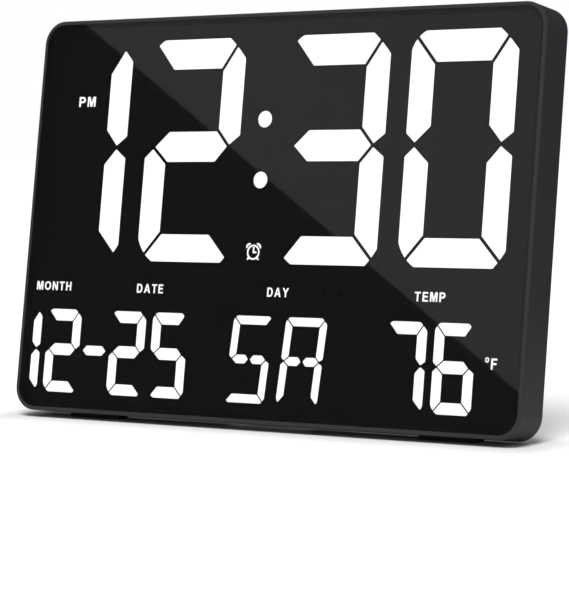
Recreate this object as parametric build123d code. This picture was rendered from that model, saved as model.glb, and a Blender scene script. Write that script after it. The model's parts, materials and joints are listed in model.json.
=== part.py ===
from build123d import *
from dataclasses import dataclass
import math
import os

# A large digital calendar clock: a flat black case with a smoked front lens, a light box of
# cast-in segments lit by a board of lamps, a main board with keys, coin cell and power jack,
# and an inset back cover with two hanging keyholes and a fold-out stand.
# Lengths are millimetres. Everything is drawn upright, with the front rim in the plane Y = 0,
# +Y to the back and the case standing on Z = 0, and is leaned back on its open stand at the end.

# Case
case_width = 385.0
case_height = 261.0
case_depth = 27.0
case_corner_radius = 15.5
case_wall = 2.5
front_edge_round = 1.0
back_edge_round = 1.8
lean_angle = 10.0

# Fits
overrun = 1.0
part_gap = 0.2
slide_gap = 0.3
pin_fit = 0.05
press_fit = 0.02

# Front lens and the ledge behind it
lens_thickness = 2.0
lens_recess = 0.4
lens_ledge_width = 3.0
lens_ledge_thickness = 1.6
film_gap = 0.3

# Back cover and the stack of boards, counted from the back
cover_recess = 1.2
cover_thickness = 2.2
component_room = 7.0
board_thickness = 1.6
board_space = 3.0

# Case bosses for the cover screws
boss_inset = 8.0
boss_corner_inset = 9.5
boss_radius = 3.5
boss_rib = 1.6
boss_clearance = 0.4
boss_top_spacing = 120.0
cover_pilot_radius = 1.1
cover_pilot_depth = 12.0

# Display rows
row_top_margin = 15.2
row_bottom_margin = 12.85
row_height = 54.75
caption_band = 33.1
hour_margin = 57.45
hour_space = 16.25
colon_space = 34.4
minute_space = 15.2
time_right_margin = 19.35
date_left_margin = 8.75
month_space = 5.1
dash_space = 3.25
dash_length = 18.75
dash_height = 6.3
dash_tip = 3.05
date_space = 5.45
day_space = 32.2
letter_space = 9.1
letter_extra = 2.5
temp_space = 47.5
temp_right_margin = 35.65

# Segment strokes
time_upright = 17.05
time_bar = 19.6
time_foot_bar = 17.75
time_gap = 2.2
date_upright = 6.85
date_bar = 7.6
date_foot_bar = 7.1
date_gap = 0.85
letter_upright = 5.2
letter_bar = 5.4
letter_gap = 0.85
letter_split = 1.65
letter_slope_angle = 4.05
digit_middle_share = 0.515
letter_middle_share = 0.5
corner_run_shares = {"tl": 0.57, "tr": 0.78, "br": 0.48, "bl": 0.71}
corner_rise_shares = {"tl": 0.69, "tr": 0.79, "br": 0.62, "bl": 0.87}
corner_middle_shares = {"tl": (0.235, 0.258), "tr": (0.438, 0.31),
                        "br": (0.254, 0.257), "bl": (0.349, 0.284)}
notch_rise_share = 0.425
left_notch_share = 0.47
left_mitre_share = 0.38
right_notch_share = 0.57
right_mitre_share = 0.49
split_flare_share = 0.43
colon_radius = 5.25
colon_shift = 1.4
colon_height_shares = (0.634, 0.366)

# Caption plates, the small masked windows for the lit words
caption_height = 8.5
caption_rise = 15.3
caption_widths = {"month": 32.5, "date": 24.4, "day": 19.5, "temp": 24.75}
month_caption_shift = 14.8
caption_shift = 1.6
temp_caption_shift = 2.5
half_day_width = 17.1
half_day_height = 9.5
half_day_reach = 18.55
half_day_drop = 39.55
degree_width = 11.4
degree_height = 8.85
degree_reach = 11.6
degree_rise = 31.75
alarm_side = 14.0
alarm_rise = 7.45

# Light box, diffusers and lamps
box_border = 0.3
cell_wall = 1.5
screw_post_radius = 3.2
diffuser_thickness = 2.0
lamp_width = 3.5
lamp_length = 2.8
lamp_height = 1.2
lamp_pitch = 28.0
receiver_radius = 3.0
receiver_height = 5.0
receiver_share = 0.33
sensor_radius = 1.5
sensor_height = 2.0
sensor_share = 0.42
window_clearance = 0.5
driver_length = 17.0
driver_width = 7.5
driver_height = 1.4
driver_reach = 120.0

# Small screws
screw_head_radius = 2.6
screw_head_height = 1.6
screw_shank_radius = 1.1
screw_slot_length = 3.2
screw_slot_width = 0.8
screw_slot_depth = 0.8
screw_bite = 4.0
head_recess = 0.4

# Main board and its parts
spacer_radius = 2.5
board_left_overhang = 24.0
board_right_overhang = 9.0
board_foot_overhang = 6.0
board_head_overhang = 9.0
chip_side = 12.0
chip_height = 1.4
crystal_radius = 1.5
crystal_length = 8.0
regulator_width = 6.5
regulator_length = 3.6
regulator_height = 1.8
capacitor_radius = 3.2
capacitor_height = 5.4
capacitor_spacing = 13.0
buzzer_radius = 6.0
buzzer_height = 5.5
buzzer_hole_radius = 1.0
buzzer_floor = 1.4
header_length = 25.0
header_width = 2.5
bead_radius = 1.2
bead_length = 3.0
board_row_share = 0.455438
chip_x = 15.0
crystal_x = 32.0
buzzer_x = -20.0
header_x = 20.0
capacitor_x = 48.0
regulator_x = 72.0

# Power jack and the plug recess under it
jack_x = 66.0
jack_width = 8.0
jack_height = 6.5
jack_length = 12.0
jack_nose_radius = 2.9
jack_bore_radius = 1.9
jack_bore_depth = 9.0
jack_pin_radius = 0.65
jack_pin_setback = 1.0
plug_recess_width = 18.0
plug_recess_height = 26.0
plug_radius = 4.4
recess_skin = 1.5

# Coin cell, its holder and the turn-lock door
cell_radius = 10.0
cell_thickness = 3.2
cell_edge = 0.6
cell_x = -64.0
holder_base = 0.6
holder_wall = 1.7
holder_lip = 0.3
contact_width = 5.0
contact_thickness = 0.4
contact_radius = 3.0
door_radius = 13.4
door_skin = 1.8
door_rim = 1.9
door_lug_reach = 2.2
door_lug_thickness = 1.5
door_lug_angle = 30.0
door_turn_angle = 50.0
door_entry_slack_angle = 6.0
coin_slot_length = 14.0
coin_slot_width = 2.2
coin_slot_depth = 0.9

# Keys on the back
key_names = ("mode", "alarm", "up", "down", "light")
key_width = 9.0
key_height = 6.0
key_corner = 1.5
key_stick_out = 0.8
key_flange = 1.2
key_flange_thickness = 1.0
key_stem_radius = 2.0
key_travel = 0.5
key_pitch = 20.0
key_row_x = 10.0
key_row_drop = 11.0
switch_side = 6.0
switch_height = 3.5
switch_floor = 0.8
plunger_radius = 1.6
plunger_stick_out = 0.9

# Hanging keyholes, vents and pressing posts
keyhole_spacing = 220.0
keyhole_drop = 39.0
keyhole_head_radius = 4.5
keyhole_slot_width = 4.5
keyhole_rise = 9.0
keyhole_pocket_margin = 2.5
keyhole_skin = 1.4
vent_width = 1.8
vent_length = 22.0
vent_pitch = 5.0
vent_count = 6
vent_reach = 130.0
vent_rise = 110.0
post_radius = 3.5
post_reach = 130.0
post_rise_shares = (0.22, 0.66)

# Stand
stand_open_angle = 18.0
stand_top_width = 52.0
stand_foot_width = 64.0
stand_thickness = 5.5
stand_skin = 2.0
stand_flange = 2.4
stand_rib = 1.8
stand_barrel_radius = 3.4
stand_heel = 6.0
stand_side_gap = 0.8
stand_floor_gap = 0.5
stand_pad_thickness = 1.2
stand_hinge_share = 0.45
stand_rib_shares = (0.33, 0.66)
pocket_skin = 1.8
pin_radius = 1.5
pin_grip = 5.0
pin_reach = 7.0
hinge_block = 4.5

# Feet under the case
foot_width = 40.0
foot_depth = 10.0
foot_inset = 57.5
foot_back_inset = 3.0
foot_height = 0.8

# Depths worked out from the sizes above
lens_front = lens_recess
lens_back = lens_front + lens_thickness
ledge_back = lens_back + lens_ledge_thickness
light_front = lens_back + film_gap
cover_back = case_depth - cover_recess
cover_front = cover_back - cover_thickness
main_back = cover_front - component_room
main_front = main_back - board_thickness
lamp_board_back = main_front - board_space
lamp_board_front = lamp_board_back - board_thickness
diffuser_back = light_front + diffuser_thickness
keyhole_pocket_depth = component_room - keyhole_skin - part_gap

# Display places on the front view, X from the middle of the case and Z from its foot
case_left = -case_width / 2
letter_slope = math.tan(math.radians(letter_slope_angle))
time_spaces = hour_margin + time_upright + hour_space + colon_space + minute_space
time_digit_width = (case_width - time_spaces - time_right_margin) / 3
time_digit_height = case_height - row_top_margin - row_bottom_margin - row_height - caption_band
time_foot = row_bottom_margin + row_height + caption_band
hour_x = case_left + hour_margin
tens_hour_end = hour_x + time_upright
hour_digit_x = tens_hour_end + hour_space
tens_minute_x = hour_digit_x + time_digit_width + colon_space
minute_x = tens_minute_x + time_digit_width + minute_space
colon_x = tens_minute_x - colon_space / 2 + colon_shift
date_spaces = (date_left_margin + date_upright + month_space + 2 * dash_space + dash_length + date_space
               + day_space + letter_space + 2 * letter_extra + temp_space + date_space + temp_right_margin)
date_digit_width = (case_width - date_spaces) / 7
letter_width = date_digit_width + letter_extra
month_x = case_left + date_left_margin
month_digit_x = month_x + date_upright + month_space
dash_x = month_digit_x + date_digit_width + dash_space
tens_day_x = dash_x + dash_length + dash_space
day_digit_x = tens_day_x + date_digit_width + date_space
letter_x = day_digit_x + date_digit_width + day_space
second_letter_x = letter_x + letter_width + letter_space
tens_temp_x = second_letter_x + letter_width + temp_space
temp_x = tens_temp_x + date_digit_width + date_space
temp_end = temp_x + date_digit_width
caption_z = row_bottom_margin + row_height + caption_rise
caption_places = {
    "month": month_x + month_caption_shift,
    "date": (tens_day_x + day_digit_x + date_digit_width) / 2 - caption_shift,
    "day": (letter_x + second_letter_x + letter_width + letter_slope * row_height) / 2 - caption_shift,
    "temp": (tens_temp_x + temp_end) / 2 - temp_caption_shift,
}

# Board and back cover places
left_spacer_x = hour_digit_x + time_digit_width / 2
right_spacer_x = minute_x - minute_space / 2
time_middle = digit_middle_share * time_digit_height
low_spacer_z = time_foot + (time_foot_bar + time_middle - time_bar / 2) / 2
high_spacer_z = time_foot + (time_middle + time_bar / 2 + time_digit_height - time_bar) / 2
spacer_places = [(x, z) for x in (left_spacer_x, right_spacer_x) for z in (low_spacer_z, high_spacer_z)]
main_left = left_spacer_x - board_left_overhang
main_right = right_spacer_x + board_right_overhang
main_foot = low_spacer_z - board_foot_overhang
main_head = high_spacer_z + board_head_overhang
board_row_z = low_spacer_z + board_row_share * (high_spacer_z - low_spacer_z)
key_z = main_head - key_row_drop
middle_key = (len(key_names) - 1) / 2
key_places = {name: key_row_x + (i - middle_key) * key_pitch for i, name in enumerate(key_names)}
jack_y = main_back + jack_height / 2
plug_recess_top = main_foot - recess_skin - part_gap
plug_recess_floor = jack_y - plug_radius
keyhole_z = case_height - keyhole_drop
boss_side = case_width / 2 - boss_corner_inset
boss_places = [(x, z) for z in (boss_inset, case_height - boss_inset)
               for x in (-boss_side, -boss_top_spacing / 2, boss_top_spacing / 2, boss_side)]
post_places = [(x, share * case_height) for x in (-post_reach, post_reach) for share in post_rise_shares]

# Stand and floor. In the upright drawing the floor rises to the back at the lean angle.
lean_tangent = math.tan(math.radians(lean_angle))
foot_back = case_depth - foot_back_inset
foot_reach = case_width / 2 - foot_inset
hinge_y = cover_back - part_gap - stand_barrel_radius
hinge_z = stand_hinge_share * case_height
hinge_floor_z = (hinge_y - foot_back) * lean_tangent - foot_height
sole_reach = (hinge_z - hinge_floor_z) * math.cos(math.radians(lean_angle))
sole_tilt = math.radians(lean_angle - stand_open_angle)
stand_back = cover_back - part_gap
hinge_share = stand_heel / (stand_heel + sole_reach)
hinge_half_width = (stand_top_width + hinge_share * (stand_foot_width - stand_top_width)) / 2
pocket_floor = hinge_y - stand_barrel_radius - stand_floor_gap
pocket_top = hinge_z + math.hypot(stand_heel, stand_barrel_radius) + stand_floor_gap


def slab(sketch, front, back):
    """Front-view sketch (local x is X, local y is Z) filled from Y = front to Y = back."""
    return extrude(Plane.XZ.offset(-back) * sketch, amount=back - front, dir=(0, -1, 0))


def case_rect(inset):
    """Case outline on the front view, drawn in by an inset."""
    rounded = RectangleRounded(case_width - 2 * inset, case_height - 2 * inset, case_corner_radius - inset)
    return Pos(0, case_height / 2) * rounded


def disc(x, z, radius):
    return Pos(x, z) * Circle(radius)


def block(x, z, width, height):
    return Pos(x, z) * Rectangle(width, height)


def group(shapes):
    """Separate solids kept together as one piece."""
    return Compound([solid for shape in shapes for solid in shape.solids()])


# Segment digits

@dataclass
class DigitStyle:
    """Sizes of one seven-segment character, in its own box."""
    width: float
    height: float
    upright: float
    bar: float
    foot_bar: float
    gap: float
    middle_share: float
    slope: float = 0.0
    split: float = 0.0


time_style = DigitStyle(time_digit_width, time_digit_height, time_upright, time_bar, time_foot_bar,
                        time_gap, digit_middle_share)
date_style = DigitStyle(date_digit_width, row_height, date_upright, date_bar, date_foot_bar,
                        date_gap, digit_middle_share)
letter_style = DigitStyle(letter_width, row_height, letter_upright, letter_bar, letter_bar,
                          letter_gap, letter_middle_share, letter_slope, letter_split)


def cut_strip(start, end, width, before, after):
    """Strip of one width about the line from start to end, run past both ends."""
    along = Vector(end[0] - start[0], end[1] - start[1])
    angle = math.degrees(math.atan2(along.Y, along.X))
    strip = Pos((after - before + along.length) / 2, 0) * Rectangle(along.length + before + after, width)
    return Pos(*start) * Rot(0, 0, angle) * strip


def digit_faces(style):
    """Segment faces of one character by letter, with its lower left corner at the origin.

    The outline, with an arc across each corner, loses two windows and a V at the middle of each
    side, and thin strips along the mitres then part it into segments.
    """
    wide, tall, upright = style.width, style.height, style.upright
    middle = style.middle_share * tall
    over, under, ceiling = middle + style.bar / 2, middle - style.bar / 2, tall - style.bar
    left, right = upright, wide - upright
    rise = notch_rise_share * upright

    def spot(u, v):
        return (u + style.slope * v, v)

    def patch(*points):
        return Polygon(*[spot(*point) for point in points], align=None)

    corners = {"tl": (0, tall), "tr": (wide, tall), "br": (wide, 0), "bl": (0, 0)}
    arcs, crossings = [], {}
    for name, (u, v) in corners.items():
        inward, upward = (upright if u == 0 else -upright), (upright if v == 0 else -upright)
        across, along = corner_middle_shares[name]
        crossings[name] = spot(u + across * inward, v + along * upward)
        on_bar = spot(u + corner_run_shares[name] * inward, v)
        on_side = spot(u, v + corner_rise_shares[name] * upward)
        start, end = (on_side, on_bar) if inward * upward < 0 else (on_bar, on_side)
        arcs.append(ThreePointArc(start, crossings[name], end))
    sides = [Line(arc @ 1, following @ 0) for arc, following in zip(arcs, arcs[1:] + arcs[:1])]
    figure = make_face([*arcs, *sides])
    figure -= patch((left, over), (right, over), (right, ceiling), (left, ceiling))
    figure -= patch((left, style.foot_bar), (right, style.foot_bar), (right, under), (left, under))

    for edge, outside, share in ((0, -overrun, left_notch_share), (wide, wide + overrun, right_notch_share)):
        notch = share * upright
        flare = rise * (overrun + notch) / notch
        figure -= patch((outside, middle - flare), (abs(edge - notch), middle), (outside, middle + flare))

    inner = {"tl": (left, ceiling), "tr": (right, ceiling),
             "br": (right, style.foot_bar), "bl": (left, style.foot_bar)}
    for name, crossing in crossings.items():
        figure -= cut_strip(crossing, spot(*inner[name]), style.gap, upright, overrun)
    for side, tip in ((left, left_mitre_share * upright), (right, wide - right_mitre_share * upright)):
        for level in (over, under):
            figure -= cut_strip(spot(tip, middle), spot(side, level), style.gap, overrun, overrun)

    centres = {"a": (wide / 2, tall - style.bar / 2), "d": (wide / 2, style.foot_bar / 2),
               "b": (wide - upright / 2, (middle + tall) / 2), "c": (wide - upright / 2, middle / 2),
               "f": (upright / 2, (middle + tall) / 2), "e": (upright / 2, middle / 2)}
    if style.split:
        slit, spread = style.split / 2, style.split / 2 + split_flare_share * style.bar
        figure -= patch((wide / 2 - spread, under), (wide / 2 + spread, under), (wide / 2 + slit, middle),
                        (wide / 2 + spread, over), (wide / 2 - spread, over), (wide / 2 - slit, middle))
        centres["g"] = ((left + wide / 2) / 2, middle)
        centres["h"] = ((right + wide / 2) / 2, middle)
    else:
        centres["g"] = (wide / 2, middle)
    faces = figure.faces()
    return {name: faces.sort_by_distance((*spot(*centre), 0))[0] for name, centre in centres.items()}


def row_segments(style, foot, characters):
    """Lit and unlit faces of a row, from (left edge, kept segments, lit segments) of each character."""
    faces = digit_faces(style)
    lit, unlit = [], []
    for x, kept, shown in characters:
        for name in kept:
            (lit if name in shown else unlit).append(Pos(x, foot) * faces[name])
    return lit, unlit


def display_faces():
    """All diffuser faces of the display by node name."""
    whole, stroke = "abcdefg", "bc"
    stroke_x = tens_hour_end - time_digit_width
    time_lit, time_unlit = row_segments(time_style, time_foot, [
        (stroke_x, stroke, "bc"), (hour_digit_x, whole, "abged"),
        (tens_minute_x, whole, "abgcd"), (minute_x, whole, "abcdef")])
    month_stroke_x = month_x + date_upright - date_digit_width
    date_lit, date_unlit = row_segments(date_style, row_bottom_margin, [
        (month_stroke_x, stroke, "bc"), (month_digit_x, whole, "abged"),
        (tens_day_x, whole, "abged"), (day_digit_x, whole, "afgcd")])
    dash_z = row_bottom_margin + digit_middle_share * row_height
    flat_end, half_height = dash_length - dash_tip, dash_height / 2
    dash = Polygon((0, 0), (dash_tip, half_height), (flat_end, half_height), (dash_length, 0),
                   (flat_end, -half_height), (dash_tip, -half_height), align=None)
    date_lit.append((Pos(dash_x, dash_z) * dash).faces()[0])
    day_lit, day_unlit = row_segments(letter_style, row_bottom_margin, [
        (letter_x, whole + "h", "afghcd"), (second_letter_x, whole + "h", "abcefgh")])
    temp_lit, temp_unlit = row_segments(date_style, row_bottom_margin, [
        (tens_temp_x, whole, "abc"), (temp_x, whole, "acdefg")])
    colon = [disc(colon_x, time_foot + share * time_digit_height, colon_radius).faces()[0]
             for share in colon_height_shares]
    return {"time_segments_lit": time_lit, "time_segments_unlit": time_unlit, "colon_dots": colon,
            "date_segments_lit": date_lit, "date_segments_unlit": date_unlit,
            "day_segments_lit": day_lit, "day_segments_unlit": day_unlit,
            "temp_segments_lit": temp_lit, "temp_segments_unlit": temp_unlit}


def caption_faces():
    """Plain plates that carry the lit words: one under each group, and three small ones."""
    plates = [block(x, caption_z, caption_widths[name], caption_height)
              for name, x in caption_places.items()]
    half_day_z = time_foot + time_digit_height - half_day_drop
    plates.append(block(hour_x - half_day_reach, half_day_z, half_day_width, half_day_height))
    degree_z = row_bottom_margin + degree_rise
    plates.append(block(temp_end + degree_reach, degree_z, degree_width, degree_height))
    plates.append(block(colon_x - caption_shift, time_foot + alarm_rise, alarm_side, alarm_side))
    return [plate.faces()[0] for plate in plates]


# Front

def front_housing():
    """Deep moulded shell: thin front rim, ledge for the lens, screw bosses, stand notch."""
    shell = slab(case_rect(0), 0, case_depth)
    shell = fillet(shell.faces().sort_by(Axis.Y)[0].edges(), front_edge_round)
    shell = fillet(shell.faces().sort_by(Axis.Y)[-1].edges(), back_edge_round)
    shell -= slab(case_rect(case_wall), -overrun, lens_back)
    shell -= slab(case_rect(case_wall + lens_ledge_width), lens_back - overrun, ledge_back + overrun)
    shell -= slab(case_rect(case_wall), ledge_back, case_depth + overrun)
    for x, z in boss_places:
        shell += slab(boss_profile(x, z, 0), ledge_back, cover_front)
        pilot = slab(disc(x, z, cover_pilot_radius), cover_front - cover_pilot_depth, cover_front + overrun)
        shell -= pilot
    notch = leg_outline(overrun + case_wall, -overrun, stand_side_gap)
    return shell - slab(notch, pocket_floor, case_depth + overrun)


def boss_profile(x, z, clearance):
    """Round boss with a rib to the middle of the nearest case wall, grown by a clearance."""
    width = boss_rib + 2 * clearance
    if abs(x) == boss_side:
        mid_radius = case_corner_radius - case_wall / 2
        bend_width = math.sqrt(mid_radius ** 2 - (case_corner_radius - boss_inset) ** 2)
        reach = boss_corner_inset - case_corner_radius + bend_width
        rib = block(x + math.copysign(reach / 2, x), z, reach, width)
    else:
        reach = boss_inset - case_wall / 2
        rib = block(x, z + math.copysign(reach / 2, z - case_height / 2), width, reach)
    return disc(x, z, boss_radius + clearance) + rib


def front_lens():
    return slab(case_rect(case_wall + part_gap), lens_front, lens_back)


def cell_surround(face):
    """Rectangle round one cell on the front view, a wall's thickness outside it."""
    box = face.bounding_box()
    middle, size = box.center(), box.size
    return block(middle.X, middle.Y, size.X + 2 * cell_wall, size.Y + 2 * cell_wall)


def light_box(segments, captions):
    """Black reflector moulding: front sheet, rim, and one walled cell for each segment and plate."""
    cells = [*sum(segments.values(), []), *captions]
    cells += [disc(x, caption_z, radius).faces()[0] for x, radius in window_places()]
    screw_places = display_screw_places() + spacer_places
    step = case_wall + lens_ledge_width + box_border
    sheet = slab(case_rect(step), light_front, diffuser_back)
    walls = case_rect(case_wall + box_border) - case_rect(step + cell_wall)
    walls += [cell_surround(face) for face in cells]
    walls += [disc(x, z, screw_post_radius) for x, z in screw_places]
    cuts = [slab(face, light_front - overrun, lamp_board_front + overrun) for face in cells]
    cuts += [slab(boss_profile(x, z, boss_clearance), ledge_back, lamp_board_front + overrun)
             for x, z in boss_places]
    pilot_front = lamp_board_front - screw_bite - overrun
    cuts += [slab(disc(x, z, screw_shank_radius + press_fit), pilot_front, lamp_board_front + overrun)
             for x, z in screw_places]
    return sheet + slab(walls, ledge_back, lamp_board_front) - cuts


def window_places():
    """Round windows for the remote receiver and the room light sensor, as (x, radius)."""
    start, room = caption_places["day"], caption_places["temp"] - caption_places["day"]
    return [(start + receiver_share * room, receiver_radius + window_clearance),
            (start + sensor_share * room, sensor_radius + window_clearance)]


def display_screw_places():
    """Screws of the lamp board, between neighbouring captions and above the time row."""
    xs = list(caption_places.values())
    between = [((a + b) / 2, caption_z) for a, b in zip(xs, xs[1:])]
    top = case_height - row_top_margin / 2 - case_wall
    return between + [(-driver_reach, top), (driver_reach, top)]


# Lamp board

def lamp_board():
    board = slab(case_rect(case_wall + box_border), lamp_board_front, lamp_board_back)
    holes = [slab(boss_profile(x, z, boss_clearance), lamp_board_front - overrun, lamp_board_back + overrun)
             for x, z in boss_places]
    for x, z in display_screw_places() + spacer_places:
        hole = disc(x, z, screw_shank_radius + part_gap)
        holes.append(slab(hole, lamp_board_front - overrun, lamp_board_back + overrun))
    return board - holes


def segment_lamps(segments, captions):
    """Small lamps on the board: one in each short cell, two or three along a long one."""
    lamps = []
    for face in [*sum(segments.values(), []), *captions]:
        box = face.bounding_box()
        middle, size = box.center(), box.size
        count = max(1, round(max(size.X, size.Y) / lamp_pitch))
        for i in range(count):
            offset = (i - (count - 1) / 2) / count
            x = middle.X + (offset * size.X if size.X > size.Y else 0)
            z = middle.Y + (offset * size.Y if size.Y >= size.X else 0)
            lamp = block(x, z, lamp_width, lamp_length)
            lamps.append(slab(lamp, lamp_board_front - lamp_height, lamp_board_front))
    return group(lamps)


def driver_chips():
    chips = [block(x, board_row_z, driver_width, driver_length) for x in (-driver_reach, driver_reach)]
    return group(slab(chip, lamp_board_back, lamp_board_back + driver_height) for chip in chips)


def ir_receiver():
    """Domed receiver of the remote control, looking out through its window."""
    x = window_places()[0][0]
    body = slab(disc(x, caption_z, receiver_radius), lamp_board_front - receiver_height, lamp_board_front)
    return fillet(body.faces().sort_by(Axis.Y)[0].edges(), receiver_radius / 2)


def light_sensor():
    x = window_places()[1][0]
    return slab(disc(x, caption_z, sensor_radius), lamp_board_front - sensor_height, lamp_board_front)


def screw(x, z, seat, shank):
    """Round-headed screw, its head on the plane Y = seat and its shank to the front."""
    body = slab(disc(x, z, screw_head_radius), seat, seat + screw_head_height)
    body = chamfer(body.faces().sort_by(Axis.Y)[-1].edges(), screw_head_height / 2)
    for turn in (0, 90):
        slot = Pos(x, z) * Rot(0, 0, turn) * Rectangle(screw_slot_length, screw_slot_width)
        top = seat + screw_head_height
        body -= slab(slot, top - screw_slot_depth, top + overrun)
    return body + slab(disc(x, z, screw_shank_radius), seat - shank, seat)


def display_screws():
    shank = board_thickness + screw_bite
    return group(screw(x, z, lamp_board_back, shank) for x, z in display_screw_places())


# Main board

def main_board():
    board = slab(block((main_left + main_right) / 2, (main_foot + main_head) / 2,
                       main_right - main_left, main_head - main_foot), main_front, main_back)
    holes = [slab(disc(x, z, screw_shank_radius + part_gap), main_front - overrun, main_back + overrun)
             for x, z in spacer_places]
    return board - holes


def board_spacers():
    """Round spacers that carry the main board on the lamp board."""
    rings = [disc(x, z, spacer_radius) - disc(x, z, screw_shank_radius + part_gap) for x, z in spacer_places]
    return group(slab(ring, lamp_board_back, main_front) for ring in rings)


def main_board_screws():
    shank = board_thickness + board_space + board_thickness + screw_bite
    return group(screw(x, z, main_back, shank) for x, z in spacer_places)


def board_header():
    """Pin strip between the two boards."""
    return slab(block(header_x, board_row_z, header_length, header_width), lamp_board_back, main_front)


def on_main_board(sketch, height):
    return slab(sketch, main_back, main_back + height)


def controller_chip():
    chip = on_main_board(block(chip_x, board_row_z, chip_side, chip_side), chip_height)
    return chamfer(chip.faces().sort_by(Axis.Y)[-1].edges(), chip_height / 4)


def clock_crystal():
    """Small watch crystal can, lying on the board."""
    can = Cylinder(crystal_radius, crystal_length)
    return Pos(crystal_x, main_back + crystal_radius, board_row_z) * can


def voltage_regulator():
    body = block(regulator_x, board_row_z, regulator_width, regulator_length)
    return on_main_board(body, regulator_height)


def capacitors():
    places = [(capacitor_x, board_row_z - i * capacitor_spacing) for i in range(2)]
    return group(on_main_board(disc(x, z, capacitor_radius), capacitor_height) for x, z in places)


def buzzer():
    can = on_main_board(disc(buzzer_x, board_row_z, buzzer_radius), buzzer_height)
    hole = disc(buzzer_x, board_row_z, buzzer_hole_radius)
    return can - slab(hole, main_back + buzzer_floor, main_back + buzzer_height + overrun)


def temp_sensor():
    """Glass bead that feels the room air, at the free corner of the board by the vents."""
    x = main_left + spacer_radius
    return on_main_board(disc(x, main_foot + spacer_radius, bead_radius), bead_length)


def dc_jack():
    """Board jack facing down, its nose through the roof of the plug recess."""
    body = on_main_board(block(jack_x, main_foot + jack_length / 2, jack_width, jack_length), jack_height)
    nose_length = main_foot - plug_recess_top
    nose = Cylinder(jack_nose_radius, nose_length)
    body += Pos(jack_x, jack_y, main_foot - nose_length / 2) * nose
    bore = Cylinder(jack_bore_radius, jack_bore_depth + overrun)
    return body - Pos(jack_x, jack_y, plug_recess_top + (jack_bore_depth - overrun) / 2) * bore


def dc_jack_pin():
    pin = Cylinder(jack_pin_radius, jack_bore_depth - jack_pin_setback)
    return Pos(jack_x, jack_y, plug_recess_top + (jack_bore_depth + jack_pin_setback) / 2) * pin


# Coin cell

def coin_cell_holder():
    """Round cradle with a slot for the side contact and a hole for the floor contact."""
    ring = cell_radius + part_gap + holder_wall
    cradle = on_main_board(disc(cell_x, board_row_z, ring), holder_base + cell_thickness + holder_lip)
    well = disc(cell_x, board_row_z, cell_radius + part_gap)
    cradle -= slab(well, main_back + holder_base, cover_front)
    cradle -= slab(disc(cell_x, board_row_z, contact_radius + part_gap), main_back - overrun, cover_front)
    slot = block(cell_x + ring, board_row_z, 2 * (holder_wall + part_gap), contact_width + 2 * part_gap)
    return cradle - slab(slot, main_back - overrun, cover_front)


def coin_cell():
    cell = slab(disc(cell_x, board_row_z, cell_radius), main_back + holder_base,
                main_back + holder_base + cell_thickness)
    return chamfer(cell.faces().sort_by(Axis.Y)[0].edges(), cell_edge)


def cell_contacts():
    """Side leaf against the rim of the cell and round pad under it."""
    leaf = block(cell_x + cell_radius + contact_thickness, board_row_z, contact_thickness, contact_width)
    return group([on_main_board(leaf, holder_base + cell_thickness),
                  on_main_board(disc(cell_x, board_row_z, contact_radius), holder_base)])


def lug_sector(reach, angle, turn):
    """Two opposite sectors about the cell's axis, of one reach and opening angle."""
    half = math.radians(angle / 2)
    far = 2 * reach
    triangle = Polygon((0, 0), (far * math.cos(half), -far * math.sin(half)),
                       (far * math.cos(half), far * math.sin(half)), align=None)
    sector = Circle(reach) & triangle
    pair = Rot(0, 0, turn) * sector + Rot(0, 0, turn + 180) * sector
    return Pos(cell_x, board_row_z) * pair


def battery_door():
    """Turn-lock disc: a cupped cover with two lugs under the case wall and a coin slot."""
    lug_front = cover_front - slide_gap - door_lug_thickness
    door = slab(disc(cell_x, board_row_z, door_radius), lug_front, cover_back)
    lugs = lug_sector(door_radius + door_lug_reach, door_lug_angle, 0)
    door += slab(lugs, lug_front, cover_front - slide_gap)
    cup = disc(cell_x, board_row_z, door_radius - door_rim)
    door -= slab(cup, lug_front - overrun, cover_back - door_skin)
    slot = Pos(cell_x, board_row_z) * SlotOverall(coin_slot_length, coin_slot_width)
    return door - slab(slot, cover_back - coin_slot_depth, cover_back + overrun)


# Keys

def switch_bases():
    """Bodies of the push switches, each with a well for its plunger."""
    bases = []
    for x in key_places.values():
        base = on_main_board(block(x, key_z, switch_side, switch_side), switch_height)
        well = disc(x, key_z, plunger_radius + part_gap)
        bases.append(base - slab(well, main_back + switch_floor, main_back + switch_height + overrun))
    return group(bases)


def switch_plunger(x):
    bottom = main_back + switch_floor + key_travel + slide_gap
    return slab(disc(x, key_z, plunger_radius), bottom, main_back + switch_height + plunger_stick_out)


def key_cap(x):
    """Key with a rounded face, a flange that keeps it in the cover and a stem to its switch."""
    face = Pos(x, key_z) * RectangleRounded(key_width, key_height, key_corner)
    flange_back = cover_front - slide_gap
    flange_front = flange_back - key_flange_thickness
    wide, tall = key_width + 2 * key_flange, key_height + 2 * key_flange
    flange = Pos(x, key_z) * RectangleRounded(wide, tall, key_corner)
    cap = slab(face, flange_front, cover_back + key_stick_out)
    cap = fillet(cap.faces().sort_by(Axis.Y)[-1].edges(), key_stick_out / 2)
    cap += slab(flange, flange_front, flange_back)
    stem_front = main_back + switch_height + plunger_stick_out
    return cap + slab(disc(x, key_z, key_stem_radius), stem_front, flange_front)


# Back cover

def keyhole_profile(x):
    """Round head hole with a narrower slot rising from it."""
    end_z = keyhole_z + keyhole_rise
    slot = block(x, keyhole_z + keyhole_rise / 2, keyhole_slot_width, keyhole_rise)
    return disc(x, keyhole_z, keyhole_head_radius) + slot + disc(x, end_z, keyhole_slot_width / 2)


def keyhole_pocket(x, margin):
    """Box behind a keyhole, seen from the front, grown by a margin."""
    width = 2 * (keyhole_head_radius + margin)
    height = keyhole_head_radius + keyhole_rise + keyhole_slot_width / 2 + 2 * margin
    z = keyhole_z - keyhole_head_radius - margin + height / 2
    return block(x, z, width, height)


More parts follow.
